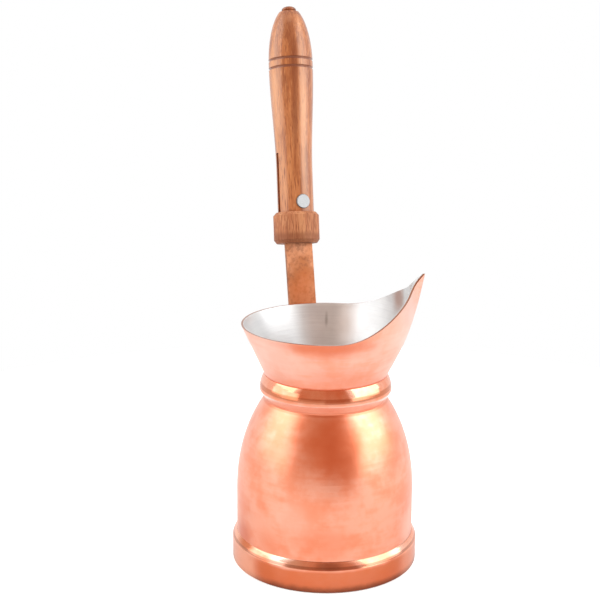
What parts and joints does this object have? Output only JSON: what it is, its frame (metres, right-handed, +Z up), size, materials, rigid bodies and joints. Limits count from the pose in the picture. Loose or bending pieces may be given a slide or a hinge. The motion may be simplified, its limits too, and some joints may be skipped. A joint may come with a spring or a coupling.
{
  "type": "coffee pot",
  "caption": "Copper coffee pot (cezve) with a proud base band, belly, neck ring, pinched pouring lip, tin lining and a wooden grip that folds on a strap and locks with a sliding collar.",
  "frame": {"origin": "centre of the underside, on the pot's axis, on the surface the pot stands on", "axes": "+Z up along the pot's axis, +X towards the pouring lip; the handle stands at 108 degrees from the lip, counter-clockwise seen from above"},
  "size_m": [0.1018, 0.1432, 0.2936],
  "materials": {
    "copper": "polished copper, slightly mottled",
    "tin": "wiped tin, faint circular brushing",
    "strap_copper": "heat-tinted copper, satin",
    "varnished_wood": "clear varnish over straight grain",
    "collar_wood": "satin, end-darkened",
    "pin_steel": "satin"
  },
  "bodies": {
    "pot": {"base_pan": "copper", "belly_shell": "copper", "neck_ring": "copper", "mouth_flare": "copper", "base_lining": "tin", "belly_lining": "tin", "mouth_lining": "tin", "base_solder_seam": "tin", "handle_strap": "strap_copper", "strap_rivets": "strap_copper", "rivet_burrs": "tin"},
    "grip": {"wooden_grip": "varnished_wood", "grip_end_button": "varnished_wood", "hinge_pin": "pin_steel", "hinge_pin_washer": "pin_steel"},
    "collar": {"locking_collar": "collar_wood"}
  },
  "joints": [
    {"name": "grip_fold", "type": "hinge", "parent": "pot", "child": "grip", "pos_m": [-0.01986, 0.05805, 0.18583], "axis": [0.4694, -0.8468, 0.2504], "range_deg": [0, 140]},
    {"name": "collar_slide", "type": "slide", "parent": "pot", "child": "collar", "axis": [0.0847, -0.2391, -0.9673], "range_m": [0, 0.03]}
  ],
  "couplings": [
    {"joint": "collar_slide", "follows": "grip_fold", "m_per_rad": 0.01227}
  ]
}
